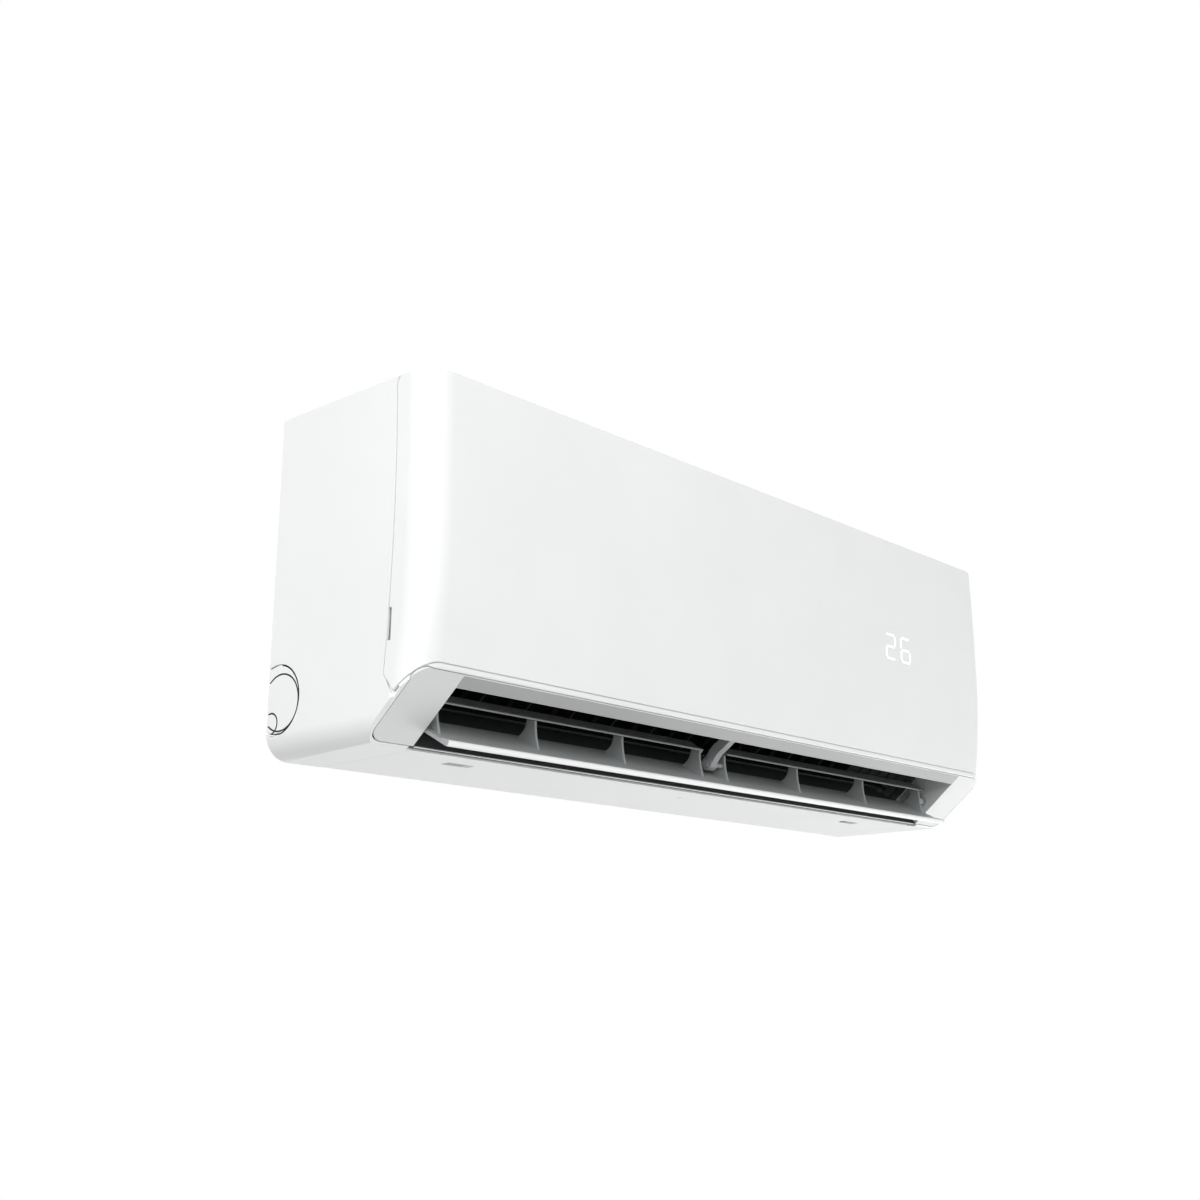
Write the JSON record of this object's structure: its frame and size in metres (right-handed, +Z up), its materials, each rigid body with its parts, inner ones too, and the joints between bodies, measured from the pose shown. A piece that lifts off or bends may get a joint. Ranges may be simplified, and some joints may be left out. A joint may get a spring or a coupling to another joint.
{
  "type": "split air conditioner indoor unit",
  "caption": "Wall-hung indoor unit of a split air conditioner, with a lifting front panel, a swinging air louver, swivelling vanes and a crossflow fan.",
  "frame": {"origin": "middle of the wall plate, on the back face that lies on the wall", "axes": "+X to the right seen from the front, along the unit's length, +Y into the wall, +Z up"},
  "size_m": [0.85, 0.1928, 0.295],
  "materials": {
    "casing_white": "satin white moulding",
    "trim_grey": "fine satin",
    "louver_grey": "fine satin",
    "dark_plastic": "matt",
    "black_plastic": "matt",
    "steel": "zinc plated",
    "copper": "drawn tube",
    "aluminium": "mill finish",
    "board": "solder mask"
  },
  "bodies": {
    "unit": {"wall_plate": "steel", "rear_chassis": "dark_plastic", "drain_pan": "dark_plastic", "front_casing": "casing_white", "top_inlet_grille": "casing_white", "panel_hinge_pin_left": "steel", "panel_hinge_pin_right": "steel", "knockout_cover_left": "casing_white", "knockout_cover_right": "casing_white", "fan_bearing": "black_plastic", "fan_motor": "steel", "motor_clamp": "dark_plastic", "evaporator_front": "aluminium", "evaporator_upper": "aluminium", "evaporator_rear": "aluminium", "coil_end_left": "copper", "coil_end_right": "copper", "liquid_pipe": "copper", "gas_pipe": "copper", "control_box": "dark_plastic", "control_box_cover": "dark_plastic", "control_board": "board", "terminal_block": "black_plastic", "casing_screw_left": "steel", "casing_screw_right": "steel", "outlet_frame": "trim_grey", "louver_support_arm": "louver_grey", "louver_motor": "trim_grey", "vane_motor": "trim_grey"},
    "front_panel": {"front_panel": "casing_white", "display_housing": "casing_white", "display_board": "board"},
    "louver": {"main_louver": "louver_grey", "upper_louver_left": "louver_grey", "upper_louver_right": "louver_grey", "louver_pivot_pin": "louver_grey", "louver_drive_shaft": "louver_grey"},
    "fan": {"crossflow_fan": "dark_plastic", "fan_stub_shaft": "steel", "motor_shaft": "steel"},
    "filter_left": {"air_filter_left": "dark_plastic"},
    "filter_right": {"air_filter_right": "dark_plastic"},
    "emergency_button": {"emergency_button": "trim_grey"},
    "bottom_cover": {"bottom_cover": "casing_white"},
    "latch_left": {"bottom_latch_left": "casing_white"},
    "latch_right": {"bottom_latch_right": "casing_white"},
    "tie_rod": {"vane_tie_rod": "black_plastic"},
    "crank": {"vane_crank": "black_plastic"},
    "vane_01": {"vertical_vane_01": "black_plastic"},
    "vane_02": {"vertical_vane_02": "black_plastic"},
    "vane_03": {"vertical_vane_03": "black_plastic"},
    "vane_04": {"vertical_vane_04": "black_plastic"},
    "vane_05": {"vertical_vane_05": "black_plastic"},
    "vane_06": {"vertical_vane_06": "black_plastic"},
    "vane_07": {"vertical_vane_07": "black_plastic"},
    "vane_08": {"vertical_vane_08": "black_plastic"},
    "vane_09": {"vertical_vane_09": "black_plastic"},
    "vane_10": {"vertical_vane_10": "black_plastic"},
    "vane_11": {"vertical_vane_11": "black_plastic"},
    "vane_12": {"vertical_vane_12": "black_plastic"}
  },
  "joints": [
    {"name": "panel_lift", "type": "hinge", "parent": "unit", "child": "front_panel", "pos_m": [0, -0.162, 0.1365], "axis": [-1, 0, 0], "range_deg": [0, 62]},
    {"name": "louver_swing", "type": "hinge", "parent": "unit", "child": "louver", "pos_m": [0, -0.13426, -0.12039], "axis": [1, 0, 0], "range_deg": [-68, 12]},
    {"name": "fan_spin", "type": "hinge", "parent": "unit", "child": "fan", "pos_m": [0, -0.084, -0.016], "axis": [1, 0, 0], "continuous": true},
    {"name": "filter_left_lift", "type": "slide", "parent": "unit", "child": "filter_left", "axis": [0, 0, 1], "range_m": [0, 0.008]},
    {"name": "filter_right_lift", "type": "slide", "parent": "unit", "child": "filter_right", "axis": [0, 0, 1], "range_m": [0, 0.008]},
    {"name": "button_press", "type": "slide", "parent": "unit", "child": "emergency_button", "axis": [0, 1, 0], "range_m": [0, 0.0015], "stiffness_N_per_m": 600, "springref_m": -0.0004},
    {"name": "cover_drop", "type": "hinge", "parent": "unit", "child": "bottom_cover", "pos_m": [0, -0.008, -0.145], "axis": [1, 0, 0], "range_deg": [0, 60]},
    {"name": "latch_left_slide", "type": "slide", "parent": "bottom_cover", "child": "latch_left", "axis": [1, 0, 0], "range_m": [0, 0.007]},
    {"name": "latch_right_slide", "type": "slide", "parent": "bottom_cover", "child": "latch_right", "axis": [-1, 0, 0], "range_m": [0, 0.007]},
    {"name": "vane_01_swing", "type": "hinge", "parent": "unit", "child": "vane_01", "pos_m": [-0.342, -0.08097, -0.09266], "axis": [0, -0.766, 0.6428], "range_deg": [-35.5, 35.5]},
    {"name": "vane_02_swing", "type": "hinge", "parent": "unit", "child": "vane_02", "pos_m": [-0.287, -0.08097, -0.09266], "axis": [0, -0.766, 0.6428], "range_deg": [-35.5, 35.5]},
    {"name": "vane_03_swing", "type": "hinge", "parent": "unit", "child": "vane_03", "pos_m": [-0.232, -0.08097, -0.09266], "axis": [0, -0.766, 0.6428], "range_deg": [-35.5, 35.5]},
    {"name": "vane_04_swing", "type": "hinge", "parent": "unit", "child": "vane_04", "pos_m": [-0.177, -0.08097, -0.09266], "axis": [0, -0.766, 0.6428], "range_deg": [-35.5, 35.5]},
    {"name": "vane_05_swing", "type": "hinge", "parent": "unit", "child": "vane_05", "pos_m": [-0.122, -0.08097, -0.09266], "axis": [0, -0.766, 0.6428], "range_deg": [-35.5, 35.5]},
    {"name": "vane_06_swing", "type": "hinge", "parent": "unit", "child": "vane_06", "pos_m": [-0.067, -0.08097, -0.09266], "axis": [0, -0.766, 0.6428], "range_deg": [-35.5, 35.5]},
    {"name": "vane_07_swing", "type": "hinge", "parent": "unit", "child": "vane_07", "pos_m": [-0.012, -0.08097, -0.09266], "axis": [0, -0.766, 0.6428], "range_deg": [-35.5, 35.5]},
    {"name": "vane_08_swing", "type": "hinge", "parent": "unit", "child": "vane_08", "pos_m": [0.043, -0.08097, -0.09266], "axis": [0, -0.766, 0.6428], "range_deg": [-35.5, 35.5]},
    {"name": "vane_09_swing", "type": "hinge", "parent": "unit", "child": "vane_09", "pos_m": [0.098, -0.08097, -0.09266], "axis": [0, -0.766, 0.6428], "range_deg": [-35.5, 35.5]},
    {"name": "vane_10_swing", "type": "hinge", "parent": "unit", "child": "vane_10", "pos_m": [0.153, -0.08097, -0.09266], "axis": [0, -0.766, 0.6428], "range_deg": [-35.5, 35.5]},
    {"name": "vane_11_swing", "type": "hinge", "parent": "unit", "child": "vane_11", "pos_m": [0.208, -0.08097, -0.09266], "axis": [0, -0.766, 0.6428], "range_deg": [-35.5, 35.5]},
    {"name": "vane_12_swing", "type": "hinge", "parent": "unit", "child": "vane_12", "pos_m": [0.263, -0.08097, -0.09266], "axis": [0, -0.766, 0.6428], "range_deg": [-35.5, 35.5]},
    {"name": "crank_swing", "type": "hinge", "parent": "unit", "child": "crank", "pos_m": [0.356, -0.08097, -0.09266], "axis": [0, -0.766, 0.6428], "range_deg": [-35.5, 35.5]},
    {"name": "tie_rod_slide", "type": "slide", "parent": "unit", "child": "tie_rod", "axis": [1, 0, 0], "range_m": [-0.0085, 0.0085]}
  ],
  "couplings": [
    {"joint": "vane_01_swing", "follows": "tie_rod_slide", "rad_per_m": 71.429},
    {"joint": "vane_02_swing", "follows": "tie_rod_slide", "rad_per_m": 71.429},
    {"joint": "vane_03_swing", "follows": "tie_rod_slide", "rad_per_m": 71.429},
    {"joint": "vane_04_swing", "follows": "tie_rod_slide", "rad_per_m": 71.429},
    {"joint": "vane_05_swing", "follows": "tie_rod_slide", "rad_per_m": 71.429},
    {"joint": "vane_06_swing", "follows": "tie_rod_slide", "rad_per_m": 71.429},
    {"joint": "vane_07_swing", "follows": "tie_rod_slide", "rad_per_m": 71.429},
    {"joint": "vane_08_swing", "follows": "tie_rod_slide", "rad_per_m": 71.429},
    {"joint": "vane_09_swing", "follows": "tie_rod_slide", "rad_per_m": 71.429},
    {"joint": "vane_10_swing", "follows": "tie_rod_slide", "rad_per_m": 71.429},
    {"joint": "vane_11_swing", "follows": "tie_rod_slide", "rad_per_m": 71.429},
    {"joint": "vane_12_swing", "follows": "tie_rod_slide", "rad_per_m": 71.429},
    {"joint": "crank_swing", "follows": "tie_rod_slide", "rad_per_m": 71.429}
  ]
}
